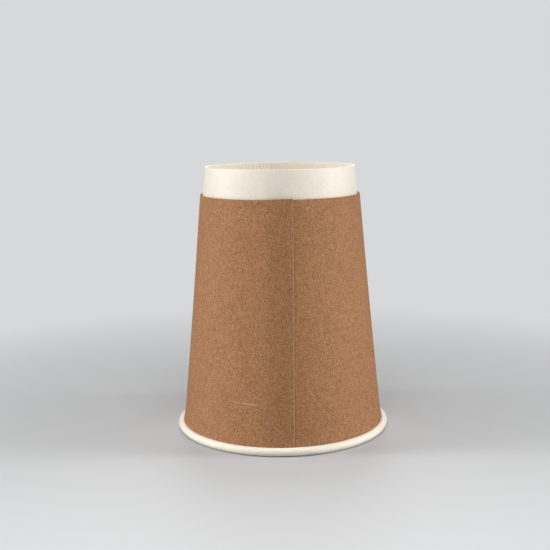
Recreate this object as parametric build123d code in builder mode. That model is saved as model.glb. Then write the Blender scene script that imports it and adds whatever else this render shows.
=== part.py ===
from build123d import *
import os
from math import acos, asin, atan2, cos, degrees, hypot, sin, sqrt, tan

# A double wall paper cup, in millimetres, standing mouth down on its rolled rim
# Origin: centre of the rim plane, +Z towards the foot, front at -Y

# Overall sizes
cup_height = 111.0
rim_diameter = 90.0
foot_diameter = 62.4

# Inner wall: one sheet of coated white board, curled at the rim and folded in at the foot
wall_thickness = 0.3
roll_diameter = 3.3
roll_tuck_gap = 0.15
wall_lap_width = 8.0
wall_lap_step = 0.2
wall_seam_angle = 106.0

# Bottom disc: a shallow dish whose skirt is held in the fold of the foot
disc_thickness = 0.3
foot_depth = 7.0
skirt_bare = 1.6
fold_clearance = 0.03

# Outer sleeve: one sheet of kraft board, lapped and glued, with plain cut edges
sleeve_thickness = 0.35
foot_band = 11.5
sleeve_foot_gap = 0.65
sleeve_clearance = 0.03
sleeve_lap_width = 9.0
sleeve_lap_overhang = 0.25
sleeve_seam_angle = -82.8

# A lap's far side comes down to the sheet under it over this width
lap_fairing_width = 2.5

# The wall's food side is a straight line from the foot that runs tangent into the roll
roll_radius = roll_diameter / 2
roll_centre_radius = rim_diameter / 2 - roll_radius
foot_inner_radius = foot_diameter / 2 - wall_thickness
run_out = roll_centre_radius - foot_inner_radius
run_down = cup_height - roll_radius
wall_lean = atan2(run_out, run_down) - asin(roll_radius / hypot(run_out, run_down))
roll_start = (
    roll_centre_radius - roll_radius * cos(wall_lean),
    roll_radius - roll_radius * sin(wall_lean),
)
roll_start_outside = (
    roll_start[0] + wall_thickness * cos(wall_lean),
    roll_start[1] + wall_thickness * sin(wall_lean),
)

# The roll turns until its cut edge is tucked in beside the wall
roll_turn = 360 - degrees(acos(1 - (wall_thickness + roll_tuck_gap) / roll_radius))

# Heights of the folded foot and the disc
fold_roof = cup_height - wall_thickness
disc_outside = cup_height - foot_depth
disc_food_side = disc_outside - disc_thickness
tail_end = disc_outside + skirt_bare
skirt_end = fold_roof - fold_clearance


def level(distance):
    """Radial measure of a distance that is taken square to the leaning wall."""
    return distance / cos(wall_lean)


def food_side(height):
    """Radius of the wall's food side at a height."""
    return foot_inner_radius + (cup_height - height) * tan(wall_lean)


def wall_outside(height):
    """Radius of the wall's outside at a height."""
    return food_side(height) + level(wall_thickness)


def skirt_side(height):
    """Radius of the side of the disc's skirt that lies against the wall."""
    return food_side(height) - level(fold_clearance)


def roll_top(radius):
    """Height of the roll's upper side at a radius."""
    return roll_radius + sqrt(roll_radius**2 - (roll_centre_radius - radius) ** 2)


# The fold leaves a channel for the skirt, and the tail runs parallel to the wall
fold_channel = level(disc_thickness + 2 * fold_clearance)

# The sleeve's outside is a straight line, set at the top of the roll and at its cut edge near the foot
sleeve_foot_end = cup_height - foot_band
sleeve_board = level(sleeve_thickness)
sleeve_foot_radius = wall_outside(sleeve_foot_end) + sleeve_foot_gap + sleeve_board
sleeve_rim_radius = wall_outside(roll_diameter) + level(wall_lap_step + sleeve_clearance) + sleeve_board
sleeve_lean = atan2(sleeve_rim_radius - sleeve_foot_radius, sleeve_foot_end - roll_diameter)


def sleeve_outside(height):
    """Radius of the sleeve's outside at a height."""
    return sleeve_foot_radius + (sleeve_foot_end - height) * tan(sleeve_lean)


def sleeve_seat(proud):
    """Height at which a layer that stands proud of the sleeve's outside sits on the roll."""
    near = roll_top(sleeve_outside(roll_diameter) + proud)
    return roll_top(sleeve_outside(near) + proud) + sleeve_clearance


sleeve_rim_end = sleeve_seat(0)
sleeve_lap_rim_end = sleeve_seat(sleeve_board)
sleeve_lap_foot_end = sleeve_foot_end + sleeve_lap_overhang


def lap_strip(foot_point, rim_point, lean, sunk, step, width):
    """The doubled strip of a lapped seam, from its cut edge round to where it fairs into the sheet.

    The points are the ends of the strip on the sheet's outside. The strip is sunk into the sheet, and
    stands proud of it by the step. Its far side is trimmed by a sloping plane at azimuth 0.
    """
    middle = (Vector(*foot_point) + Vector(*rim_point)) / 2
    drop = step / lap_fairing_width + lap_fairing_width / (2 * middle.X)
    fairing = Plane(
        origin=(middle.X + step / cos(lean), 0, middle.Y),
        x_dir=(-sin(lean), 0, cos(lean)),
        z_dir=(cos(lean), -drop, sin(lean)),
    )
    with BuildPart() as strip:
        with BuildSketch(Plane.XZ.rotated((0, 0, -degrees(drop)))):
            with BuildLine():
                Line(
                    (foot_point[0] - sunk * cos(lean), foot_point[1] - sunk * sin(lean)),
                    (rim_point[0] - sunk * cos(lean), rim_point[1] - sunk * sin(lean)),
                )
                offset(amount=sunk + step, side=Side.LEFT)
            make_face()
        revolve(axis=Axis.Z, revolution_arc=degrees(drop + width / middle.X))
        split(bisect_by=fairing, keep=Keep.BOTTOM)
    return strip.part, degrees(width / middle.X)


wall_lap, wall_lap_angle = lap_strip(
    (wall_outside(fold_roof), fold_roof),
    (wall_outside(roll_diameter), roll_diameter),
    wall_lean,
    wall_thickness / 2,
    wall_lap_step,
    wall_lap_width,
)

with BuildPart() as inner_wall:
    with BuildSketch(Plane.XZ) as wall_section:
        with BuildLine():
            Polyline(
                (food_side(tail_end) - fold_channel, tail_end),
                (food_side(fold_roof) - fold_channel, fold_roof),
                (food_side(fold_roof), fold_roof),
                roll_start,
                roll_start_outside,
                (wall_outside(cup_height), cup_height),
                (food_side(cup_height) - fold_channel - level(wall_thickness), cup_height),
                (food_side(tail_end) - fold_channel - level(wall_thickness), tail_end),
                close=True,
            )
        make_face()
        fillet(wall_section.vertices().group_by(Axis.Y)[-1], radius=wall_thickness)
        with BuildLine():
            CenterArc(
                (roll_centre_radius, roll_radius),
                roll_radius,
                start_angle=180 + degrees(wall_lean),
                arc_size=roll_turn,
            )
            offset(amount=wall_thickness, side=Side.LEFT)
        make_face()
    revolve(axis=Axis.Z)
    add(wall_lap, rotation=(0, 0, wall_seam_angle - wall_lap_angle))

with BuildPart() as bottom_disc:
    with BuildSketch(Plane.XZ):
        with BuildLine():
            Polyline(
                (0, disc_food_side),
                (skirt_side(disc_food_side), disc_food_side),
                (skirt_side(skirt_end), skirt_end),
            )
            offset(amount=disc_thickness, side=Side.LEFT)
        make_face()
    revolve(axis=Axis.Z)

sleeve_lap, sleeve_lap_angle = lap_strip(
    (sleeve_outside(sleeve_lap_foot_end), sleeve_lap_foot_end),
    (sleeve_outside(sleeve_lap_rim_end), sleeve_lap_rim_end),
    sleeve_lean,
    sleeve_thickness / 2,
    sleeve_thickness,
    sleeve_lap_width,
)

with BuildPart() as outer_sleeve:
    with BuildSketch(Plane.XZ):
        with BuildLine():
            Line(
                (sleeve_outside(sleeve_foot_end), sleeve_foot_end),
                (sleeve_outside(sleeve_rim_end), sleeve_rim_end),
            )
            offset(amount=sleeve_thickness, side=Side.RIGHT)
        make_face()
    revolve(axis=Axis.Z)
    add(sleeve_lap, rotation=(0, 0, sleeve_seam_angle - sleeve_lap_angle))

os.makedirs("parts", exist_ok=True)

inner_wall.part.label = "inner_wall"
export_step(inner_wall.part, "parts/inner_wall.step")

bottom_disc.part.label = "bottom_disc"
export_step(bottom_disc.part, "parts/bottom_disc.step")

outer_sleeve.part.label = "outer_sleeve"
export_step(outer_sleeve.part, "parts/outer_sleeve.step")
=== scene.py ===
"""Looks of a double wall paper cup that stands mouth down on its rolled rim.

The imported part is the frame. Each of its three boards is rebuilt as the sheet it is made from:
drawn as a section, rolled round the axis past a full turn so that the lapped seam is a real one,
and given its thickness. Sizes are in millimetres and degrees, and the meshes in metres.
"""

import logging
import math
from dataclasses import dataclass, field
from enum import Enum

import bmesh
import bpy
from mathutils import Matrix, Vector


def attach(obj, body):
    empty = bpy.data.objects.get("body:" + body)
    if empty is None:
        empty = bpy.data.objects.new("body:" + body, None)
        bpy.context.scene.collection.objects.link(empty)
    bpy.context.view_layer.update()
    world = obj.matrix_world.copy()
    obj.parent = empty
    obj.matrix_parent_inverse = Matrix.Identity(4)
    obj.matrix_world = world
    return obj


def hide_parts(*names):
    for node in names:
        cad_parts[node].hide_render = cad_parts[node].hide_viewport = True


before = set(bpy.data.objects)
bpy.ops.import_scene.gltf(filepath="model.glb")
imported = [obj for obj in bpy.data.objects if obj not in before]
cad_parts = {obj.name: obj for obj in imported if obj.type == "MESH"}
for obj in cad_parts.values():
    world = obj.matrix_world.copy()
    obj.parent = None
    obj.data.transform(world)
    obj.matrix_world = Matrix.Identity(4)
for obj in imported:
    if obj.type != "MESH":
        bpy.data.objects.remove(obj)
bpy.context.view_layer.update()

MM = 0.001
MERGE_DISTANCE = 0.01 * MM
FULL_TURN = 360.0
AXIS = (0.0, 0.0, 1.0)
CENTRE = (0.0, 0.0, 0.0)

Colour = tuple[float, float, float]

log = logging.getLogger("paper_cup")


class Node(Enum):
    """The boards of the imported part."""

    INNER_WALL = "inner_wall"
    BOTTOM_DISC = "bottom_disc"
    OUTER_SLEEVE = "outer_sleeve"


class Slot(Enum):
    """The finishes that the record names."""

    WHITE_BOARD = "white_board"
    KRAFT_BOARD = "kraft_board"


class Attribute(Enum):
    """What a sheet tells its finish about each point."""

    SHEET_MAP = "sheet_map"
    EDGE_GAP = "edge_gap"
    # Distance beyond the seam's edge on the layer under it, where the seam's shadow is painted
    CREASE_GAP = "crease_gap"


def smoothstep(share: float) -> float:
    """Eases a share from 0 to 1, and holds it outside that range."""
    held = min(max(share, 0.0), 1.0)
    return held * held * (3.0 - 2.0 * held)


@dataclass(frozen=True)
class CupSizes:
    """The sizes that the three boards share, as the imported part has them.

    Attributes:
        height: Height of the cup.
        rim_diameter: Width across the rolled rim.
        foot_diameter: Width across the foot.
        wall_thickness: Thickness of the wall's board.
        roll_diameter: Thickness of the roll.
        roll_tuck_gap: Gap between the roll's cut edge and the wall.
        wall_lap_step: How far the wall's seam stands out.
        disc_thickness: Thickness of the disc's board.
        foot_depth: Depth of the disc below the foot's edge.
        skirt_bare: Height of skirt between the disc and the tail.
        fold_clearance: Gap between the skirt and the fold round it.
        sleeve_thickness: Thickness of the sleeve's board.
        foot_band: Height of wall that the sleeve leaves bare at the foot.
        sleeve_foot_gap: Air gap inside the sleeve's foot end.
        sleeve_clearance: Gap where the sleeve is glued or seated.
    """

    height: float = 111.0
    rim_diameter: float = 90.0
    foot_diameter: float = 62.4
    wall_thickness: float = 0.3
    roll_diameter: float = 3.3
    roll_tuck_gap: float = 0.15
    wall_lap_step: float = 0.2
    disc_thickness: float = 0.3
    foot_depth: float = 7.0
    skirt_bare: float = 1.6
    fold_clearance: float = 0.03
    sleeve_thickness: float = 0.35
    foot_band: float = 11.5
    sleeve_foot_gap: float = 0.65
    sleeve_clearance: float = 0.03

    @property
    def roll_radius(self) -> float:
        """Radius of the rolled rim's section."""
        return self.roll_diameter / 2

    @property
    def roll_centre(self) -> tuple[float, float]:
        """Radius and height of the middle of the roll's section."""
        return self.rim_diameter / 2 - self.roll_radius, self.roll_radius

    @property
    def foot_inner_radius(self) -> float:
        """Radius of the food side at the foot."""
        return self.foot_diameter / 2 - self.wall_thickness

    @property
    def wall_lean(self) -> float:
        """Lean of the wall from upright.

        Returns:
            The lean in radians, at which the food side runs tangent into the roll.
        """
        out = self.roll_centre[0] - self.foot_inner_radius
        down = self.height - self.roll_radius
        return math.atan2(out, down) - math.asin(self.roll_radius / math.hypot(out, down))

    @property
    def roll_turn(self) -> float:
        """How far the roll turns before its cut edge is tucked in beside the wall, in radians."""
        tucked = (self.wall_thickness + self.roll_tuck_gap) / self.roll_radius
        return math.tau - math.acos(1 - tucked)

    @property
    def fold_roof(self) -> float:
        """Height of the underside of the folded foot."""
        return self.height - self.wall_thickness

    @property
    def fold_channel(self) -> float:
        """Width of the channel that the fold leaves for the disc's skirt."""
        return self.level(self.disc_thickness + 2 * self.fold_clearance)

    @property
    def disc_food_side(self) -> float:
        """Height of the disc's food side."""
        return self.height - self.foot_depth - self.disc_thickness

    @property
    def tail_end(self) -> float:
        """Height of the cut edge of the folded tail."""
        return self.height - self.foot_depth + self.skirt_bare

    @property
    def sleeve_foot_end(self) -> float:
        """Height of the sleeve's cut edge near the foot."""
        return self.height - self.foot_band

    def level(self, distance: float) -> float:
        """Radial measure of a distance that is taken square to the wall."""
        return distance / math.cos(self.wall_lean)

    def food_side(self, height: float) -> float:
        """Radius of the wall's food side at a height."""
        return self.foot_inner_radius + (self.height - height) * math.tan(self.wall_lean)

    def wall_outside(self, height: float) -> float:
        """Radius of the wall's outside at a height."""
        return self.food_side(height) + self.level(self.wall_thickness)

    def sleeve_outside(self, height: float) -> float:
        """Radius of the sleeve's outside at a height.

        Args:
            height: Height above the rim plane.

        Returns:
            The radius on the straight line between the sleeve's two cut edges.
        """
        board = self.level(self.sleeve_thickness)
        foot = self.wall_outside(self.sleeve_foot_end) + self.sleeve_foot_gap + board
        rim = self.wall_outside(self.roll_diameter) + board
        rim += self.level(self.wall_lap_step + self.sleeve_clearance)
        share = (self.sleeve_foot_end - height) / (self.sleeve_foot_end - self.roll_diameter)
        return foot + (rim - foot) * share

    def roll_top(self, radius: float) -> float:
        """Height of the roll's upper side at a radius."""
        reach = self.roll_centre[0] - radius
        return self.roll_radius + math.sqrt(self.roll_radius**2 - reach**2)


@dataclass(frozen=True)
class Lap:
    """The seam where a rolled sheet passes over its own start.

    Attributes:
        exposed_edge: Azimuth of the cut edge that shows on the outside, at the section's first row.
        angle: How far the sheet passes its own start.
        fairing: Turn over which it climbs on to the start.
        stray: How far the seam strays round the cup by the section's last row.
    """

    exposed_edge: float
    angle: float
    fairing: float
    stray: float = 0.0

    @property
    def start(self) -> float:
        """Azimuth of the cut edge that lies underneath."""
        return self.exposed_edge - self.angle

    @property
    def whole_turn(self) -> float:
        """How far the sheet is rolled, from its start to the edge that shows."""
        return FULL_TURN + self.angle

    def climb(self, turn: float) -> float:
        """Share of the climb on to the start, at a turn from the start."""
        return smoothstep((turn - FULL_TURN + self.fairing) / self.fairing)

    def covered(self, turn: float) -> float:
        """Share by which the sheet lies under its own end, at a turn from the start."""
        return smoothstep(1.0 - (turn - self.angle) / self.fairing)


@dataclass(frozen=True)
class SectionRow:
    """One row of a sheet.

    Attributes:
        radius: Distance from the axis.
        height: Height above the rim plane.
        along: Distance along the section from its first row.
        out: Radial and upward parts of the way to the left of the drawing, in which a lap climbs.
    """

    radius: float
    height: float
    along: float
    out: tuple[float, float]


class SheetSection:
    """A sheet's half section, drawn as a chain of edges in the XZ plane."""

    def __init__(self, mesh: bmesh.types.BMesh, radius: float, height: float) -> None:
        """Starts the chain.

        Args:
            mesh: The mesh to draw in.
            radius: Distance of the first row from the axis.
            height: Height of the first row.
        """
        self.mesh = mesh
        made = bmesh.ops.create_vert(self.mesh, co=(radius * MM, 0.0, height * MM))
        self.chain = [made["vert"][0]]

    @property
    def tip(self) -> bmesh.types.BMVert:
        """The last vertex of the chain."""
        return self.chain[-1]

    def line(self, radius: float, height: float, rows: int) -> None:
        """Draws a straight run.

        Args:
            radius: Distance of its end from the axis.
            height: Height of its end.
            rows: Rows of faces along it.
        """
        step = (Vector((radius * MM, 0.0, height * MM)) - self.tip.co) / rows
        for _ in range(rows):
            grown = bmesh.ops.extrude_vert_indiv(self.mesh, verts=[self.tip])
            self.chain.append(grown["verts"][0])
            bmesh.ops.translate(self.mesh, verts=[self.tip], vec=step)

    def bend(self, radius: float, height: float, turn: float, rows: int) -> None:
        """Draws an arc from the tip.

        Args:
            radius: Distance of the arc's middle from the axis.
            height: Height of the arc's middle.
            turn: Angle of the arc in radians, positive from +X towards +Z.
            rows: Rows of faces along it.
        """
        for _ in range(rows):
            grown = bmesh.ops.spin(
                self.mesh,
                geom=[self.tip],
                cent=(radius * MM, 0.0, height * MM),
                axis=(0.0, -1.0, 0.0),
                angle=turn / rows,
                steps=1,
            )
            self.chain.append(grown["geom_last"][0])

    def spin_closed(self, columns: int) -> None:
        """Spins the chain into a closed round of faces.

        Args:
            columns: Columns of faces round it.
        """
        bmesh.ops.spin(
            self.mesh,
            geom=list(self.mesh.verts) + list(self.mesh.edges),
            cent=CENTRE,
            axis=AXIS,
            angle=math.tau,
            steps=columns,
            use_merge=True,
        )
        bmesh.ops.remove_doubles(self.mesh, verts=self.mesh.verts, dist=MERGE_DISTANCE)

    def rows(self) -> list[SectionRow]:
        """Measures the chain.

        Returns:
            One row for each vertex, in the order of drawing.
        """
        points = [vert.co / MM for vert in self.chain]
        rows = []
        along = 0.0
        for index, point in enumerate(points):
            before, after = points[max(index - 1, 0)], points[min(index + 1, len(points) - 1)]
            along += (point - before).length
            way = (after - before).normalized()
            rows.append(SectionRow(point.x, point.z, along, out=(-way.z, way.x)))
        return rows


class SheetLayers:
    """What is noted about each point of a rolled sheet."""

    TURN = "turn"
    ROW = "row"

    def __init__(self, mesh: bmesh.types.BMesh) -> None:
        """Adds the layers to a mesh, and then takes hold of them.

        Args:
            mesh: A mesh that is still empty.
        """
        points, corners = mesh.verts.layers, mesh.loops.layers
        points.float.new(self.TURN)
        points.float.new(Attribute.EDGE_GAP.value)
        points.float.new(Attribute.CREASE_GAP.value)
        points.int.new(self.ROW)
        points.deform.new()
        corners.uv.new(Attribute.SHEET_MAP.value)
        self.turn = points.float[self.TURN]
        self.edge_gap = points.float[Attribute.EDGE_GAP.value]
        self.crease_gap = points.float[Attribute.CREASE_GAP.value]
        self.row = points.int[self.ROW]
        self.share = points.deform.active
        self.sheet_map = corners.uv[Attribute.SHEET_MAP.value]


@dataclass
class BoardSheet:
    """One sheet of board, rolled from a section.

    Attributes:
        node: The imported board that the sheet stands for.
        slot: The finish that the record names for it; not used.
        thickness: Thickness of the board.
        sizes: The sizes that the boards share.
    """

    node: Node
    slot: Slot
    thickness: float
    sizes: CupSizes

    def finish_piece(
        self,
        mesh: bmesh.types.BMesh,
        faces_out: bool,
        finishes: list[bpy.types.Material],
    ) -> bpy.types.Object:
        """Turns a rolled mesh into a piece with thickness and finish.

        Args:
            mesh: The rolled sheet, which is freed.
            faces_out: Whether its drawn side faces away from the axis, taken over the whole sheet.
            finishes: The face of the board, then its cut edge.

        Returns:
            The piece, riding on the part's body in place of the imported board.
        """
        bmesh.ops.recalc_face_normals(mesh, faces=mesh.faces)
        mesh.normal_update()
        outward = sum(
            face.normal.xy.dot(face.calc_center_median().xy) * face.calc_area()
            for face in mesh.faces
        )
        if (outward > 0.0) != faces_out:
            bmesh.ops.reverse_faces(mesh, faces=mesh.faces)
        for face in mesh.faces:
            face.smooth = True
        for edge in mesh.edges:
            edge.smooth = not edge.is_boundary
        data = bpy.data.meshes.new(self.node.value + ".sheet")
        mesh.to_mesh(data)
        mesh.free()
        piece = bpy.data.objects.new(self.node.value + ".board", data)
        bpy.context.collection.objects.link(piece)
        for finish in finishes:
            data.materials.append(finish)
        board = piece.modifiers.new("board", "SOLIDIFY")
        board.thickness = self.thickness * MM
        board.offset = -1.0
        board.use_even_offset = True
        board.use_quality_normals = True
        board.material_offset_rim = 1
        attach(piece, "root")
        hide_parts(self.node.value)
        return piece


@dataclass
class RolledSheet(BoardSheet):
    """A sheet that is rolled past a full turn and sealed along a lap.

    Attributes:
        lap: The seam.
        columns: Columns of faces round the whole turn.
    """

    lap: Lap
    columns: int

    LAYER_GROUP = "layer_share"

    def lift(self, row: SectionRow, turn: float) -> float:
        """How far the sheet stands out from its plain section at a point."""
        return self.lap.climb(turn) * self.thickness

    def slide(self, row: SectionRow, turn: float) -> float:
        """How far the sheet is slid back along its section at a point."""
        return 0.0

    def layer_share(self, row: SectionRow, turn: float) -> float:
        """Share of the board's thickness that is left where the seam is pressed."""
        return 1.0

    def roll(self, section: SheetSection, layers: SheetLayers) -> None:
        """Rolls a section round the axis into a sheet with its seam.

        Args:
            section: The drawn section, whose mesh becomes the sheet's.
            layers: The layers of that mesh.
        """
        mesh, rows = section.mesh, section.rows()
        for index, vert in enumerate(section.chain):
            vert[layers.row] = index
        start = Matrix.Rotation(math.radians(self.lap.start), 3, AXIS)
        bmesh.ops.rotate(mesh, verts=mesh.verts, cent=CENTRE, matrix=start)
        step = self.lap.whole_turn / self.columns
        edge_row = list(mesh.verts) + list(mesh.edges)
        for column in range(self.columns):
            grown = bmesh.ops.spin(
                mesh, geom=edge_row, cent=CENTRE, axis=AXIS, angle=math.radians(step), steps=1
            )
            edge_row = grown["geom_last"]
            for element in edge_row:
                if isinstance(element, bmesh.types.BMVert):
                    element[layers.turn] = (column + 1) * step
        self._press(mesh, rows, layers)
        self._lay_out(mesh, rows, layers)

    def _press(
        self, mesh: bmesh.types.BMesh, rows: list[SectionRow], layers: SheetLayers
    ) -> None:
        """Moves each point by its lift and slide, and notes what belongs to its place on the seam.

        Args:
            mesh: The rolled sheet.
            rows: The rows of its section.
            layers: The layers of its mesh.
        """
        for vert in mesh.verts:
            row, turn = rows[vert[layers.row]], vert[layers.turn]
            stray = self.lap.stray * row.along / rows[-1].along
            azimuth = math.radians(self.lap.start + turn + stray)
            out, back = self.lift(row, turn), self.slide(row, turn)
            radius = row.radius + row.out[0] * out - row.out[1] * back
            height = row.height + row.out[1] * out + row.out[0] * back
            vert.co = Vector((radius * math.cos(azimuth), radius * math.sin(azimuth), height)) * MM
            vert[layers.share][0] = self.layer_share(row, turn)
            vert[layers.edge_gap] = math.radians(self.lap.whole_turn - turn) * row.radius
            vert[layers.crease_gap] = math.radians(turn - self.lap.angle) * row.radius

    def _lay_out(
        self, mesh: bmesh.types.BMesh, rows: list[SectionRow], layers: SheetLayers
    ) -> None:
        """Lays the sheet out flat as its map, in metres.

        Args:
            mesh: The rolled sheet.
            rows: The rows of its section.
            layers: The layers of its mesh.
        """
        middle = (rows[0].radius + rows[-1].radius) / 2
        for face in mesh.faces:
            for loop in face.loops:
                turned = math.radians(loop.vert[layers.turn]) * middle
                along = rows[loop.vert[layers.row]].along
                loop[layers.sheet_map].uv = (turned * MM, along * MM)

    def press_layers(self, piece: bpy.types.Object) -> None:
        """Makes a piece's thickness follow its layer shares."""
        piece.vertex_groups.new(name=self.LAYER_GROUP)
        piece.modifiers["board"].vertex_group = self.LAYER_GROUP


@dataclass
class InnerWall(RolledSheet):
    """The white wall: curled outwards at the rim, folded inwards and knurled at the foot.

    Attributes:
        pressed_layer: Thickness of each of the seam's layers on the wall.
        press_rate: How many times faster than the bare band rises the seam is pressed flat.
        fold_radius: Radius inside the fold's two bends.
        lap_ribs: Ribs across the seam, so that those of its two layers fall together.
        rib_count: Ribs that the knurling tool leaves round the foot.
        rib_height: How far a rib stands in from the tail.
        rib_slant: Ribs by which the knurling leans for each millimetre of height.
        rib_margin: Height over which the ribs run out at the tail's two ends.
        seam_ribs: How many times higher the ribs are on the seam, which is two layers thick.
        seam_ribs_turn: Turn over which they come down to the other ribs' height.
        tail_rows: Rows of faces on the tail.
        bend_rows: Rows of faces on each of the fold's bends.
        wall_rows: Rows of faces on the wall.
        roll_rows: Rows of faces on the roll.
    """

    pressed_layer: float = 0.25
    press_rate: float = 2.0
    fold_radius: float = 0.06
    lap_ribs: int = 4
    rib_count: int = 112
    rib_height: float = 0.13
    rib_slant: float = 0.22
    rib_margin: float = 0.7
    seam_ribs: float = 2.8
    seam_ribs_turn: float = 20.0
    tail_rows: int = 9
    bend_rows: int = 3
    wall_rows: int = 18
    roll_rows: int = 36

    def build(self, finishes: list[bpy.types.Material]) -> bpy.types.Object:
        """Rolls the wall from its food side.

        Args:
            finishes: The face of the board, then its cut edge.

        Returns:
            The finished piece.
        """
        sizes, bend = self.sizes, self.fold_radius
        lean = sizes.wall_lean
        roof, channel = sizes.fold_roof, sizes.fold_channel
        tail_top = roof - bend
        tail = sizes.food_side(tail_top) - channel
        mesh = bmesh.new()
        layers = SheetLayers(mesh)
        section = SheetSection(mesh, sizes.food_side(sizes.tail_end) - channel, sizes.tail_end)
        section.line(tail, tail_top, self.tail_rows)
        section.bend(tail + bend, tail_top, -math.pi / 2, self.bend_rows)
        section.line(sizes.food_side(tail_top) - bend, roof, rows=1)
        section.bend(sizes.food_side(tail_top) - bend, tail_top, -math.pi / 2, self.bend_rows)
        roll_radius, (roll_out, roll_up) = sizes.roll_radius, sizes.roll_centre
        start_out = roll_out - roll_radius * math.cos(lean)
        start_up = roll_up - roll_radius * math.sin(lean)
        section.line(start_out, start_up, self.wall_rows)
        section.bend(roll_out, roll_up, sizes.roll_turn, self.roll_rows)
        self.roll(section, layers)
        piece = self.finish_piece(mesh, faces_out=False, finishes=finishes)
        self.press_layers(piece)
        return piece

    def _layer(self, row: SectionRow) -> float:
        """Thickness of each of the seam's layers.

        Args:
            row: A row of the wall.

        Returns:
            The thickness at the row, which is less where the fold presses the layers flat.
        """
        above = (row.height - self.sizes.sleeve_foot_end) / self.sizes.foot_band
        pressed = smoothstep(above * self.press_rate)
        flat = self.thickness / 2
        return self.pressed_layer + (flat - self.pressed_layer) * pressed

    def _on_tail(self, row: SectionRow) -> bool:
        """Whether a row is on the folded tail."""
        tail = self.sizes.food_side(row.height) - self.sizes.fold_channel
        return row.radius < tail + self.fold_radius / 2

    def lift(self, row: SectionRow, turn: float) -> float:
        """How far the wall stands out from its plain section at a point.

        Args:
            row: The point's row.
            turn: The point's turn from the start.

        Returns:
            The climb on to the lap, and on the tail also the height of the ribs.
        """
        lift = self.lap.climb(turn) * self._layer(row)
        if self._on_tail(row):
            phase = math.tau * (turn * self.rib_count / FULL_TURN - row.height * self.rib_slant)
            inset = min(row.height - self.sizes.tail_end, self.sizes.fold_roof - row.height)
            crest = (0.5 + 0.5 * math.cos(phase)) * smoothstep(inset / self.rib_margin)
            beside = abs((turn - self.lap.angle + FULL_TURN / 2) % FULL_TURN - FULL_TURN / 2)
            pressed = smoothstep(1.0 - beside / self.seam_ribs_turn)
            lift += self.rib_height * crest * (1.0 + (self.seam_ribs - 1.0) * pressed)
        return lift

    def layer_share(self, row: SectionRow, turn: float) -> float:
        """Share of the board's thickness that is left where the seam is pressed."""
        pressed = max(self.lap.climb(turn), self.lap.covered(turn))
        return 1.0 + (self._layer(row) / self.thickness - 1.0) * pressed


@dataclass
class OuterSleeve(RolledSheet):
    """The kraft sleeve: a plain cut sheet, lapped at the front and seated on the roll.

    Attributes:
        glue_line: Gap that the glue leaves between the seam's layers.
        edge_lift: How far the edge that shows stands off the layer under it.
        edge_lift_width: Width over which it stands off.
        overhang: How far the corner of the edge that shows passes the lower layer towards the foot.
        overhang_turn: Turn over which the foot end rises to that corner.
        flare: How far the roll pushes the rim end out.
        flare_height: Height over which the sleeve flares.
        waist: How far the sleeve draws in between its ends, where nothing backs it.
        plain_rows: Rows of faces above the flare.
        flare_rows: Rows of faces on the flare.
    """

    glue_line: float = 0.01
    edge_lift: float = 0.06
    edge_lift_width: float = 3.0
    overhang: float = 0.35
    overhang_turn: float = 30.0
    flare: float = 0.35
    flare_height: float = 9.0
    waist: float = 0.2
    plain_rows: int = 20
    flare_rows: int = 6

    def build(self, finishes: list[bpy.types.Material]) -> bpy.types.Object:
        """Rolls the sleeve from its outside.

        Args:
            finishes: The face of the board, then its cut edge.

        Returns:
            The finished piece.
        """
        sizes = self.sizes
        foot_end = sizes.sleeve_foot_end
        seat = sizes.roll_top(self._seat_radius()) + sizes.sleeve_clearance
        flare_from = seat + self.flare_height
        mesh = bmesh.new()
        layers = SheetLayers(mesh)
        section = SheetSection(mesh, sizes.sleeve_outside(foot_end), foot_end)
        section.line(sizes.sleeve_outside(flare_from), flare_from, self.plain_rows)
        section.line(sizes.sleeve_outside(seat), seat, self.flare_rows)
        self.roll(section, layers)
        return self.finish_piece(mesh, faces_out=True, finishes=finishes)

    def _seat_radius(self) -> float:
        """Radius at which the outside of the flared rim end sits on the roll."""
        return self.sizes.sleeve_outside(self.sizes.roll_diameter) + self.flare

    def lift(self, row: SectionRow, turn: float) -> float:
        """How far the sleeve stands out from its plain section at a point.

        Args:
            row: The point's row.
            turn: The point's turn from the start.

        Returns:
            The climb on to the lap with its lifted edge, less the waist, and the flare.
        """
        gap = math.radians(self.lap.whole_turn - turn) * row.radius
        lift = self.lap.climb(turn) * (self.thickness + self.glue_line)
        lift += self.edge_lift * smoothstep(1.0 - gap / self.edge_lift_width)
        above = row.height - self.sizes.roll_diameter
        whole = self.sizes.sleeve_foot_end - self.sizes.roll_diameter
        lift -= self.waist * math.sin(math.pi * min(max(above / whole, 0.0), 1.0))
        return lift + self.flare * min(max(1.0 - above / self.flare_height, 0.0), 1.0) ** 2

    def slide(self, row: SectionRow, turn: float) -> float:
        """How far the sleeve is slid back along its section at a point.

        Args:
            row: The point's row.
            turn: The point's turn from the start.

        Returns:
            The rise of the foot end towards its corner, which gives way to the trim that seats the
            upper layer on the roll.
        """
        sizes = self.sizes
        seat_radius = self._seat_radius()
        layer = self.thickness + self.glue_line + self.edge_lift
        trim = sizes.roll_top(seat_radius + layer) - sizes.roll_top(seat_radius)
        rise = smoothstep(1.0 - (self.lap.whole_turn - turn) / self.overhang_turn)
        share = (sizes.sleeve_foot_end - row.height) / (sizes.sleeve_foot_end - sizes.roll_diameter)
        return rise * self.overhang * (1.0 - share) + self.lap.climb(turn) * trim * share


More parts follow.
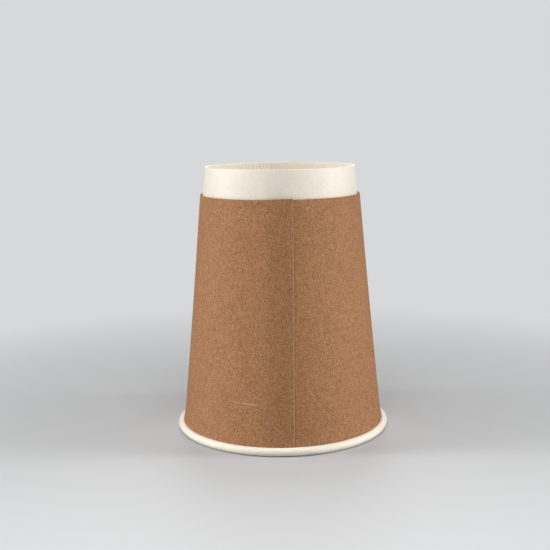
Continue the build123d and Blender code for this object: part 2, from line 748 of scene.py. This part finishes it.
@dataclass
class BottomDisc(BoardSheet):
    """The white disc that closes the cup, with a skirt turned up into the fold of the foot.

    Attributes:
        bend_radius: Radius on the food side where the skirt turns up.
        columns: Columns of faces round it.
        floor_rows: Rows of faces on the level floor.
        bend_rows: Rows of faces on the bend.
        skirt_rows: Rows of faces on the skirt.
    """

    bend_radius: float = 0.9
    columns: int = 160
    floor_rows: int = 8
    bend_rows: int = 6
    skirt_rows: int = 5

    def build(self, finishes: list[bpy.types.Material]) -> bpy.types.Object:
        """Spins the disc from its food side.

        Args:
            finishes: The face of the board, then its cut edge.

        Returns:
            The finished piece.
        """
        sizes, bend = self.sizes, self.bend_radius
        lean, gap = sizes.wall_lean, sizes.level(sizes.fold_clearance)
        floor = sizes.disc_food_side
        skirt_end = sizes.fold_roof - sizes.fold_clearance
        centre_up = floor + bend
        centre_out = sizes.food_side(centre_up) - gap - sizes.level(bend)
        mesh = bmesh.new()
        section = SheetSection(mesh, 0.0, floor)
        section.line(centre_out, floor, self.floor_rows)
        section.bend(centre_out, centre_up, math.pi / 2 + lean, self.bend_rows)
        section.line(sizes.food_side(skirt_end) - gap, skirt_end, self.skirt_rows)
        section.spin_closed(self.columns)
        return self.finish_piece(mesh, faces_out=True, finishes=finishes)


class FinishNodes:
    """The nodes of one finish."""

    # Middle of a mottle's tones, and the range in which nearly all of them lie
    MIDDLE_TONE = 0.5
    TONES = (0.3, 0.7)

    # How much each finer layer of a mottle counts against the one before
    MOTTLE_ROUGHNESS = 0.55

    def __init__(self, name: str) -> None:
        """Starts a finish with a plain surface shader.

        Args:
            name: The finish's name.
        """
        self.material = bpy.data.materials.new(name)
        self.material.use_nodes = True
        self.tree = self.material.node_tree
        self.surface = self.tree.nodes["Principled BSDF"]

    def add(self, kind: str, **settings: object) -> bpy.types.Node:
        """Adds a node.

        Args:
            kind: Blender's name for the node's type.
            **settings: The node's own properties.

        Returns:
            The new node.
        """
        node = self.tree.nodes.new(kind)
        for name, value in settings.items():
            setattr(node, name, value)
        return node

    def join(self, source: bpy.types.NodeSocket, target: bpy.types.NodeSocket) -> None:
        """Links an output to an input."""
        self.tree.links.new(source, target)

    def object_place(self) -> bpy.types.NodeSocket:
        """Place on the object, in metres."""
        return self.add("ShaderNodeTexCoord").outputs["Object"]

    def noted(self, attribute: Attribute) -> bpy.types.NodeSocket:
        """What a sheet notes about each point, in millimetres."""
        return self.add("ShaderNodeAttribute", attribute_name=attribute.value).outputs["Fac"]

    def sheet_place(
        self,
        turn: float,
        scale: tuple[float, float],
        middle: tuple[float, float] = (0.0, 0.0),
    ) -> bpy.types.NodeSocket:
        """Place on the flat sheet as a pattern sees it that is moved, turned and drawn out.

        Args:
            turn: Angle of the pattern on the sheet, in degrees.
            scale: How many times the pattern is drawn out, each way.
            middle: Place of the pattern's middle, in metres.

        Returns:
            The place in the pattern.
        """
        flat = self.add("ShaderNodeUVMap", uv_map=Attribute.SHEET_MAP.value)
        mapping = self.add("ShaderNodeMapping", vector_type="TEXTURE")
        mapping.inputs["Location"].default_value = (*middle, 0.0)
        mapping.inputs["Rotation"].default_value = (0.0, 0.0, math.radians(turn))
        mapping.inputs["Scale"].default_value = (*scale, 1.0)
        self.join(flat.outputs["UV"], mapping.inputs["Vector"])
        return mapping.outputs["Vector"]

    def mottle(
        self, place: bpy.types.NodeSocket, spot: float, detail: float
    ) -> bpy.types.NodeSocket:
        """An uneven tone.

        Args:
            place: Where it is looked up.
            spot: Size of its spots in millimetres.
            detail: How many finer layers it has.

        Returns:
            A value round the middle tone.
        """
        noise = self.add("ShaderNodeTexNoise", noise_dimensions="3D")
        noise.inputs["Scale"].default_value = 1.0 / (spot * MM)
        noise.inputs["Detail"].default_value = detail
        noise.inputs["Roughness"].default_value = self.MOTTLE_ROUGHNESS
        self.join(place, noise.inputs["Vector"])
        return noise.outputs["Fac"]

    def spread(
        self,
        value: bpy.types.NodeSocket,
        source: tuple[float, float],
        target: tuple[float, float],
    ) -> bpy.types.NodeSocket:
        """Maps a range of a value on to another range.

        Args:
            value: The value.
            source: The range to take.
            target: The range to give.

        Returns:
            The mapped value, held inside the range.
        """
        node = self.add("ShaderNodeMapRange")
        node.inputs["From Min"].default_value, node.inputs["From Max"].default_value = source
        node.inputs["To Min"].default_value, node.inputs["To Max"].default_value = target
        self.join(value, node.inputs["Value"])
        return node.outputs["Result"]

    def magnitude(self, value: bpy.types.NodeSocket) -> bpy.types.NodeSocket:
        """Drops the sign of a value.

        Args:
            value: The value.

        Returns:
            The value without its sign.
        """
        node = self.add("ShaderNodeMath", operation="ABSOLUTE")
        self.join(value, node.inputs[0])
        return node.outputs["Value"]

    def combine(
        self, first: bpy.types.NodeSocket, second: bpy.types.NodeSocket, operation: str
    ) -> bpy.types.NodeSocket:
        """Combines two values.

        Args:
            first: A value.
            second: Another value.
            operation: Blender's name for what is done with them.

        Returns:
            The result.
        """
        node = self.add("ShaderNodeMath", operation=operation)
        self.join(first, node.inputs[0])
        self.join(second, node.inputs[1])
        return node.outputs["Value"]

    def blend(
        self,
        share: bpy.types.NodeSocket,
        first: "bpy.types.NodeSocket | Colour",
        second: "bpy.types.NodeSocket | Colour",
        blend_type: str = "MIX",
    ) -> bpy.types.NodeSocket:
        """Blends two colours.

        Args:
            share: Share of the second colour.
            first: A colour, or a socket that gives one.
            second: A colour, or a socket that gives one.
            blend_type: Blender's name for the way of blending.

        Returns:
            The blended colour.
        """
        node = self.add("ShaderNodeMix", data_type="RGBA", blend_type=blend_type)
        self.join(share, node.inputs[0])
        for socket, colour in ((node.inputs[6], first), (node.inputs[7], second)):
            if isinstance(colour, bpy.types.NodeSocket):
                self.join(colour, socket)
            else:
                socket.default_value = (*colour, 1.0)
        return node.outputs[2]

    def relief(self, height: bpy.types.NodeSocket, depth: float, strength: float) -> None:
        """Gives the surface a fine relief.

        Args:
            height: Height from 0 to 1.
            depth: Depth of the relief in millimetres.
            strength: Share of it that shows.
        """
        bump = self.add("ShaderNodeBump")
        bump.inputs["Strength"].default_value = strength
        bump.inputs["Distance"].default_value = depth * MM
        self.join(height, bump.inputs["Height"])
        self.join(bump.outputs["Normal"], self.surface.inputs["Normal"])


@dataclass(frozen=True)
class Mark:
    """A short pale scuff on a sheet.

    Attributes:
        round_it: Place of its middle round the flat sheet, in millimetres.
        along: Place of its middle along the flat sheet, in millimetres.
        length: Its length, in millimetres.
        width: Its width, in millimetres.
        turn: Its angle on the sheet, in degrees.
        strength: How far it covers the board's colour.
    """

    round_it: float
    along: float
    length: float
    width: float
    turn: float
    strength: float

    # Shares of its half length and half width over which every mark fades
    ENDS = (0.6, 1.0)
    SIDES = (0.1, 1.0)

    # Tones of the grain over which it is broken up, and the share that is left of it there
    BREAKS = (0.38, 0.58)
    BROKEN = 0.3


@dataclass(frozen=True)
class FibreLay:
    """The fibres of a board that lie one way.

    Attributes:
        turn: Their angle on the flat sheet, in degrees.
        stretch: How many times longer than wide they are.
        tones: Tones of the pattern over which a fibre comes out.
        strength: How far a fibre covers the board's colour.
        dark: Whether they are dark.
    """

    turn: float
    stretch: float
    tones: tuple[float, float]
    strength: float
    dark: bool = False


@dataclass(frozen=True)
class KraftFace:
    """Uncoated brown kraft: cloudy pulp, fine grain, and single fibres that lie several ways.

    Attributes:
        pale: Colour of the thin clouds.
        deep: Colour of the dense clouds.
        fibre_pale: Colour of bleached fibres.
        fibre_dark: Colour of bark specks.
        wear_and_highlight: Colour of the small rubbed marks, and of the pale line along the seam's
            edge that shows, which is partly rubbed cut fibres and partly a painted highlight where
            that edge catches the light.
        seam_shadow: Colour of the painted shadow in the crease that the seam's edge leaves on the
            layer under it.
        cloud: Size of the clouds, in millimetres.
        speck: Size of the specks, in millimetres.
        speck_reach: How far from the middle tone a speck is complete.
        speck_strengths: How far a pale and a dark speck cover the clouds.
        grain: Size of the grain, in millimetres.
        grain_reach: How far from the middle tone a spot of the grain is complete.
        grain_strengths: How far a pale and a dark spot of the grain cover the specks.
        fibre: Width of a fibre, in millimetres.
        lays: The fibres, of which the first two lays stand in relief.
        edge_width: Width of the pale line along the seam, partly wear and partly painted highlight,
            in millimetres.
        edge_ragged: Shares of that width between which the line wanders.
        edge_fade: Width over which its side fades, in millimetres.
        edge_strength: How far it covers the board's colour.
        seam_shadow_width: Width of the painted seam shadow, in millimetres.
        seam_shadow_core: Width of its even part, in millimetres.
        seam_shadow_strength: How far the painted shadow covers the board's colour.
        roughness: Roughness where the grain is deep, and where it is high.
        sheen: Level of the mirror-like part of the reflection.
        marks: The small marks.
    """

    pale: Colour = (0.388, 0.183, 0.080)
    deep: Colour = (0.340, 0.159, 0.068)
    fibre_pale: Colour = (0.575, 0.308, 0.160)
    fibre_dark: Colour = (0.138, 0.058, 0.023)
    # Pale kraft for small scuffs and for the seam's edge line, which is partly wear and partly a
    # painted highlight
    wear_and_highlight: Colour = (0.610, 0.370, 0.210)
    # Darker kraft that paints the shadow in the seam's crease
    seam_shadow: Colour = (0.190, 0.084, 0.034)
    cloud: float = 6.0
    speck: float = 2.0
    speck_reach: float = 0.22
    speck_strengths: tuple[float, float] = (0.17, 0.16)
    grain: float = 0.52
    grain_reach: float = 0.2
    grain_strengths: tuple[float, float] = (0.78, 0.74)
    fibre: float = 0.16
    lays: tuple[FibreLay, ...] = (
        FibreLay(turn=24.0, stretch=13.0, tones=(0.55, 0.66), strength=0.42),
        FibreLay(turn=-58.0, stretch=12.0, tones=(0.56, 0.67), strength=0.40, dark=True),
        FibreLay(turn=-14.0, stretch=16.0, tones=(0.58, 0.68), strength=0.45),
    )
    edge_width: float = 0.36
    edge_ragged: tuple[float, float] = (0.6, 1.2)
    edge_fade: float = 0.12
    edge_strength: float = 0.8
    seam_shadow_width: float = 0.6
    seam_shadow_core: float = 0.15
    seam_shadow_strength: float = 0.75
    roughness: tuple[float, float] = (0.82, 0.68)
    sheen: float = 0.2
    marks: tuple[Mark, ...] = (
        Mark(round_it=229.0, along=80.0, length=13.0, width=0.9, turn=2.3, strength=0.8),
        Mark(round_it=49.3, along=90.6, length=3.2, width=0.7, turn=103.0, strength=0.8),
        Mark(round_it=9.2, along=40.6, length=1.2, width=0.7, turn=0.0, strength=1.0),
        Mark(round_it=9.2, along=67.8, length=1.4, width=0.7, turn=0.0, strength=1.0),
    )

    def material(self) -> bpy.types.Material:
        """Builds the finish.

        Returns:
            The material.
        """
        nodes = FinishNodes("kraft_face")
        place = nodes.object_place()
        clouds = nodes.mottle(place, self.cloud, detail=3.0)
        colour = nodes.blend(nodes.spread(clouds, nodes.TONES, (0.0, 1.0)), self.deep, self.pale)
        specks = nodes.mottle(place, self.speck, detail=2.0)
        colour = self._flecked(nodes, colour, specks, self.speck_reach, self.speck_strengths)
        grain = nodes.mottle(place, self.grain, detail=5.0)
        colour = self._flecked(nodes, colour, grain, self.grain_reach, self.grain_strengths)
        strands = []
        for lay in self.lays:
            drawn_out = nodes.sheet_place(lay.turn, (1.0, lay.stretch))
            strand = nodes.mottle(drawn_out, self.fibre, detail=1.0)
            share = nodes.spread(strand, lay.tones, (0.0, lay.strength))
            colour = nodes.blend(share, colour, self.fibre_dark if lay.dark else self.fibre_pale)
            strands.append(strand)
        # Adds the painted seam shadow, and the pale edge line that is partly a painted highlight
        colour = self._seam_edge(nodes, colour, grain)
        for mark in self.marks:
            colour = nodes.blend(self._rubbed(nodes, mark, grain), colour, self.wear_and_highlight)
        roughness = nodes.spread(grain, nodes.TONES, self.roughness)
        nodes.join(colour, nodes.surface.inputs["Base Color"])
        nodes.join(roughness, nodes.surface.inputs["Roughness"])
        nodes.surface.inputs["Specular IOR Level"].default_value = self.sheen
        height = nodes.combine(grain, nodes.combine(strands[0], strands[1], "MAXIMUM"), "ADD")
        nodes.relief(height, depth=0.05, strength=0.55)
        return nodes.material

    def _flecked(
        self,
        nodes: FinishNodes,
        colour: bpy.types.NodeSocket,
        pattern: bpy.types.NodeSocket,
        reach: float,
        strengths: tuple[float, float],
    ) -> bpy.types.NodeSocket:
        """Scatters pale and dark flecks over a colour.

        Args:
            nodes: The finish that is being built.
            colour: The colour so far.
            pattern: The mottle whose high and low tones become the flecks.
            reach: How far from the middle tone a fleck is complete.
            strengths: How far a pale and a dark fleck cover the colour.

        Returns:
            The flecked colour.
        """
        middle = nodes.MIDDLE_TONE
        flecks = ((middle + reach, self.fibre_pale), (middle - reach, self.fibre_dark))
        for (full, fleck), strength in zip(flecks, strengths):
            share = nodes.spread(pattern, (middle, full), (0.0, strength))
            colour = nodes.blend(share, colour, fleck)
        return colour

    def _seam_edge(
        self, nodes: FinishNodes, colour: bpy.types.NodeSocket, grain: bpy.types.NodeSocket
    ) -> bpy.types.NodeSocket:
        """Paints the pale line along the seam's edge that shows, partly rubbed wear and partly a
        painted highlight, and paints shadow into the crease beside it.

        Args:
            nodes: The finish that is being built.
            colour: The colour so far.
            grain: The grain, which breaks the pale edge line up.

        Returns:
            The colour with the painted seam shadow and the pale edge line.
        """
        # Painted shadow: darkens the layer under the seam just beyond its edge, where the step
        # shades it
        beside = nodes.magnitude(nodes.noted(Attribute.CREASE_GAP))
        stain_and_painted_shadow = nodes.spread(
            beside, (self.seam_shadow_core, self.seam_shadow_width), (self.seam_shadow_strength, 0.0)
        )
        colour = nodes.blend(stain_and_painted_shadow, colour, self.seam_shadow)
        # Pale line along the seam's edge that shows: partly rubbed fibres, partly a painted
        # highlight of the light that the edge catches
        low, high = self.edge_ragged
        width = nodes.spread(grain, nodes.TONES, (self.edge_width * low, self.edge_width * high))
        inside = nodes.combine(width, nodes.noted(Attribute.EDGE_GAP), "SUBTRACT")
        edge_wear_and_highlight = nodes.spread(inside, (0.0, self.edge_fade), (0.0, self.edge_strength))
        return nodes.blend(edge_wear_and_highlight, colour, self.wear_and_highlight)

    def _rubbed(
        self, nodes: FinishNodes, mark: Mark, grain: bpy.types.NodeSocket
    ) -> bpy.types.NodeSocket:
        """Share by which a mark covers the board.

        Args:
            nodes: The finish that is being built.
            mark: The mark.
            grain: The grain, which breaks the mark up.

        Returns:
            The share, which fades to 0 at the mark's sides and ends.
        """
        half_size = (mark.length / 2 * MM, mark.width / 2 * MM)
        local = nodes.sheet_place(mark.turn, half_size, (mark.round_it * MM, mark.along * MM))
        parts = nodes.add("ShaderNodeSeparateXYZ")
        nodes.join(local, parts.inputs["Vector"])
        ends = nodes.spread(nodes.magnitude(parts.outputs["X"]), mark.ENDS, (1.0, 0.0))
        sides = nodes.spread(nodes.magnitude(parts.outputs["Y"]), mark.SIDES, (mark.strength, 0.0))
        broken = nodes.spread(grain, mark.BREAKS, (mark.BROKEN, 1.0))
        return nodes.combine(nodes.combine(ends, sides, "MULTIPLY"), broken, "MULTIPLY")


@dataclass(frozen=True)
class WhiteFace:
    """White board with a thin satin coating over a calendered sheet.

    Attributes:
        coat: Colour of the coating on the thin clouds.
        shade: Colour of the coating on the dense clouds.
        pulp: Colour of the grain's low spots.
        cloud: Size of the clouds, in millimetres.
        grain: Size of the grain, in millimetres.
        grain_tones: Tones of the grain over which a low spot comes out.
        grain_strength: How far a low spot covers the coating's colour.
        roughness: Roughness where the grain is deep, and where it is high.
        sheen: Level of the mirror-like part of the reflection.
    """

    coat: Colour = (0.893, 0.833, 0.730)
    shade: Colour = (0.868, 0.800, 0.688)
    pulp: Colour = (0.800, 0.705, 0.575)
    cloud: float = 7.0
    grain: float = 0.8
    grain_tones: tuple[float, float] = (0.52, 0.30)
    grain_strength: float = 0.5
    roughness: tuple[float, float] = (0.42, 0.55)
    sheen: float = 0.4

    def material(self) -> bpy.types.Material:
        """Builds the finish.

        Returns:
            The material.
        """
        nodes = FinishNodes("white_face")
        place = nodes.object_place()
        clouds = nodes.mottle(place, self.cloud, detail=3.0)
        colour = nodes.blend(nodes.spread(clouds, nodes.TONES, (0.0, 1.0)), self.shade, self.coat)
        grain = nodes.mottle(place, self.grain, detail=3.0)
        low = nodes.spread(grain, self.grain_tones, (0.0, self.grain_strength))
        roughness = nodes.spread(grain, nodes.TONES, self.roughness)
        nodes.join(nodes.blend(low, colour, self.pulp), nodes.surface.inputs["Base Color"])
        nodes.join(roughness, nodes.surface.inputs["Roughness"])
        nodes.surface.inputs["Specular IOR Level"].default_value = self.sheen
        nodes.relief(grain, depth=0.025, strength=0.4)
        return nodes.material


@dataclass(frozen=True)
class CutEdge:
    """The cut edge of a board, where the uncoated core shows.

    Attributes:
        name: The finish's name.
        core: Colour of the core.
        stain_and_painted_shadow: Colour of its darker pulp.
        spot: Size of the pulp's spots, in millimetres.
        roughness: Roughness of the cut.
        depth: Depth of its relief, in millimetres.
        strength: Share of the relief that shows.
    """

    name: str
    core: Colour
    stain_and_painted_shadow: Colour
    spot: float
    roughness: float
    depth: float
    strength: float

    def material(self) -> bpy.types.Material:
        """Builds the finish.

        Returns:
            The material.
        """
        nodes = FinishNodes(self.name)
        pulp = nodes.mottle(nodes.object_place(), self.spot, detail=2.0)
        nodes.join(nodes.blend(pulp, self.stain_and_painted_shadow, self.core), nodes.surface.inputs["Base Color"])
        nodes.surface.inputs["Roughness"].default_value = self.roughness
        nodes.relief(pulp, self.depth, self.strength)
        return nodes.material


KRAFT_CUT = CutEdge(
    name="kraft_cut",
    core=(0.640, 0.410, 0.255),
    stain_and_painted_shadow=(0.500, 0.290, 0.165),
    spot=0.35,
    roughness=0.9,
    depth=0.04,
    strength=0.5,
)
WHITE_CUT = CutEdge(
    name="white_cut",
    core=(0.780, 0.690, 0.560),
    stain_and_painted_shadow=(0.690, 0.590, 0.460),
    spot=0.3,
    roughness=0.85,
    depth=0.03,
    strength=0.4,
)


@dataclass(frozen=True)
class Softbox:
    """One soft lamp, aimed at a point.

    Attributes:
        name: The lamp's name.
        place: Where it hangs, in metres.
        aim: The point that it faces, in metres.
        size: Width and height, in metres.
        power: Power in watts.
        grid: Angle that its grid lets out, in degrees.
    """

    name: str
    place: tuple[float, float, float]
    aim: tuple[float, float, float]
    size: tuple[float, float]
    power: float
    grid: float = 180.0

    def hang(self) -> None:
        """Adds the lamp to the scene."""
        lamp = bpy.data.lights.new(self.name, "AREA")
        lamp.shape = "RECTANGLE"
        lamp.size, lamp.size_y = self.size
        lamp.energy = self.power
        lamp.spread = math.radians(self.grid)
        hung = bpy.data.objects.new(self.name, lamp)
        hung.location = self.place
        way = Vector(self.aim) - Vector(self.place)
        hung.rotation_euler = way.to_track_quat("-Z", "Y").to_euler()
        bpy.context.collection.objects.link(hung)


@dataclass
class Studio:
    """A pale paper sweep all round, soft lamps and an even sky.

    Attributes:
        floor_radius: Radius of the level floor, in millimetres.
        sweep_radius: Radius of the curve between floor and wall, in millimetres.
        wall_height: Height of the wall above the curve, in millimetres.
        floor_rows: Rows of faces on the floor.
        curve_rows: Rows of faces on the curve.
        wall_rows: Rows of faces on the wall.
        columns: Columns of faces round the sweep.
        paper: Colour of the sweep.
        paper_roughness: Roughness of the sweep.
        glow: Colour that the far part of the sweep shows to the camera.
        glow_from: Distance at which that begins, in metres.
        glow_full: Distance at which it is complete, in metres.
        sky: Colour of the light from above the walls.
        sky_strength: Strength of that light.
        lamps: The soft lamps.
    """

    floor_radius: float = 1100.0
    sweep_radius: float = 700.0
    wall_height: float = 900.0
    floor_rows: int = 6
    curve_rows: int = 16
    wall_rows: int = 2
    columns: int = 96
    paper: Colour = (0.47, 0.475, 0.48)
    paper_roughness: float = 0.6
    glow: Colour = (0.68, 0.69, 0.70)
    glow_from: float = 0.06
    glow_full: float = 0.26
    sky: Colour = (1.0, 1.0, 1.0)
    sky_strength: float = 0.3
    lamps: list[Softbox] = field(
        default_factory=lambda: [
            Softbox(
                name="left_softbox",
                place=(-0.62, -0.1, 0.26),
                aim=(0.0, -0.24, 0.06),
                size=(0.25, 0.4),
                power=0.94,
                grid=50.0,
            ),
            Softbox(
                name="right_softbox",
                place=(0.62, -0.1, 0.26),
                aim=(0.0, -0.24, 0.06),
                size=(0.25, 0.4),
                power=0.88,
                grid=50.0,
            ),
            Softbox(
                name="top_softbox",
                place=(0.0, -0.42, 0.88),
                aim=(0.0, 0.0, 0.05),
                size=(0.7, 0.7),
                power=4.8,
            ),
            Softbox(
                name="back_softbox",
                place=(0.0, 0.9, 0.45),
                aim=(0.0, 0.0, 0.06),
                size=(0.6, 0.4),
                power=2.2,
            ),
        ]
    )

    def build(self) -> None:
        """Builds the sweep, hangs the lamps and lights the sky."""
        self._sweep()
        for lamp in self.lamps:
            lamp.hang()
        world = bpy.data.worlds.new("even_sky")
        world.use_nodes = True
        sky = world.node_tree.nodes["Background"]
        sky.inputs["Color"].default_value = (*self.sky, 1.0)
        sky.inputs["Strength"].default_value = self.sky_strength
        bpy.context.scene.world = world
        bpy.context.scene.view_settings.view_transform = "Standard"

    def _sweep(self) -> None:
        """Spins the paper sweep and gives it its finish."""
        mesh = bmesh.new()
        section = SheetSection(mesh, 0.0, 0.0)
        wall_out = self.floor_radius + self.sweep_radius
        wall_top = self.sweep_radius + self.wall_height
        section.line(self.floor_radius, 0.0, self.floor_rows)
        section.bend(self.floor_radius, self.sweep_radius, math.pi / 2, self.curve_rows)
        section.line(wall_out, wall_top, self.wall_rows)
        section.spin_closed(self.columns)
        for face in mesh.faces:
            face.smooth = True
        data = bpy.data.meshes.new("paper_sweep")
        mesh.to_mesh(data)
        mesh.free()
        sweep = bpy.data.objects.new("paper_sweep", data)
        bpy.context.collection.objects.link(sweep)
        data.materials.append(self._paper_finish())

    def _paper_finish(self) -> bpy.types.Material:
        """Builds the sweep's finish, which fades into an even pale backdrop away from the cup.

        Returns:
            The material.
        """
        nodes = FinishNodes("sweep_paper")
        nodes.surface.inputs["Base Color"].default_value = (*self.paper, 1.0)
        nodes.surface.inputs["Roughness"].default_value = self.paper_roughness
        distance = nodes.add("ShaderNodeVectorMath", operation="LENGTH")
        nodes.join(nodes.object_place(), distance.inputs[0])
        glow_range = (self.glow_from, self.glow_full)
        far = nodes.spread(distance.outputs["Value"], glow_range, (0.0, 1.0))
        ray = nodes.add("ShaderNodeLightPath")
        seen = ray.outputs["Is Camera Ray"]
        for kind in ("Is Glossy Ray", "Is Transmission Ray"):
            seen = nodes.combine(seen, ray.outputs[kind], "MAXIMUM")
        glow = nodes.add("ShaderNodeEmission")
        glow.inputs["Color"].default_value = (*self.glow, 1.0)
        both = nodes.add("ShaderNodeMixShader")
        nodes.join(nodes.combine(far, seen, "MULTIPLY"), both.inputs[0])
        nodes.join(nodes.surface.outputs["BSDF"], both.inputs[1])
        nodes.join(glow.outputs["Emission"], both.inputs[2])
        nodes.join(both.outputs["Shader"], nodes.tree.nodes["Material Output"].inputs["Surface"])
        return nodes.material


@dataclass(frozen=True)
class FrontCamera:
    """The camera in front of the cup, a little above it.

    Attributes:
        picture_width: Width of the picture in pixels.
        focal_length: Focal length in pixels.
        distance: Distance from the cup's axis, in millimetres.
        height: Height above the floor, in millimetres.
        pitch: How far it looks down, in radians.
        yaw: How far it looks to the right, in radians.
        roll: How far the picture turns, in radians.
    """

    picture_width: float = 550.0
    focal_length: float = 960.1
    distance: float = 402.4
    height: float = 132.1
    pitch: float = 0.1659
    yaw: float = -0.0063
    roll: float = 0.0141

    SENSOR_WIDTH = 36.0

    def place(self) -> None:
        """Adds the camera and makes it the scene's own."""
        data = bpy.data.cameras.new("front_camera")
        data.sensor_width = self.SENSOR_WIDTH
        data.lens = self.SENSOR_WIDTH * self.focal_length / self.picture_width
        level = math.cos(self.pitch)
        forward = Vector(
            (math.sin(self.yaw) * level, math.cos(self.yaw) * level, -math.sin(self.pitch))
        )
        right = Vector((math.cos(self.yaw), -math.sin(self.yaw), 0.0))
        up = right.cross(forward)
        turned_right = right * math.cos(self.roll) - up * math.sin(self.roll)
        turned_up = right * math.sin(self.roll) + up * math.cos(self.roll)
        stand = Matrix((turned_right, turned_up, -forward)).transposed().to_4x4()
        stand.translation = (0.0, -self.distance * MM, self.height * MM)
        camera = bpy.data.objects.new("front_camera", data)
        camera.matrix_world = stand
        bpy.context.collection.objects.link(camera)
        bpy.context.scene.camera = camera


def main() -> None:
    """Builds the cup's boards, the studio and the camera, and logs how many points each piece has.
    """
    logging.basicConfig(level=logging.INFO, format="%(name)s: %(message)s")
    sizes = CupSizes()
    white = [WhiteFace().material(), WHITE_CUT.material()]
    kraft = [KraftFace().material(), KRAFT_CUT.material()]
    wall_lap = FULL_TURN * InnerWall.lap_ribs / InnerWall.rib_count
    boards = (
        (
            InnerWall(
                node=Node.INNER_WALL,
                slot=Slot.WHITE_BOARD,
                thickness=sizes.wall_thickness,
                sizes=sizes,
                lap=Lap(exposed_edge=106.0, angle=wall_lap, fairing=4.0),
                columns=580,
            ),
            white,
        ),
        (
            BottomDisc(
                node=Node.BOTTOM_DISC,
                slot=Slot.WHITE_BOARD,
                thickness=sizes.disc_thickness,
                sizes=sizes,
            ),
            white,
        ),
        (
            OuterSleeve(
                node=Node.OUTER_SLEEVE,
                slot=Slot.KRAFT_BOARD,
                thickness=sizes.sleeve_thickness,
                sizes=sizes,
                lap=Lap(exposed_edge=-81.3, angle=13.6, fairing=12.0, stray=-2.6),
                columns=311,
            ),
            kraft,
        ),
    )
    for board, finishes in boards:
        piece = board.build(finishes)
        log.info("%s: %d points", piece.name, len(piece.data.vertices))
    Studio().build()
    FrontCamera().place()


if __name__ == "__main__":
    main()
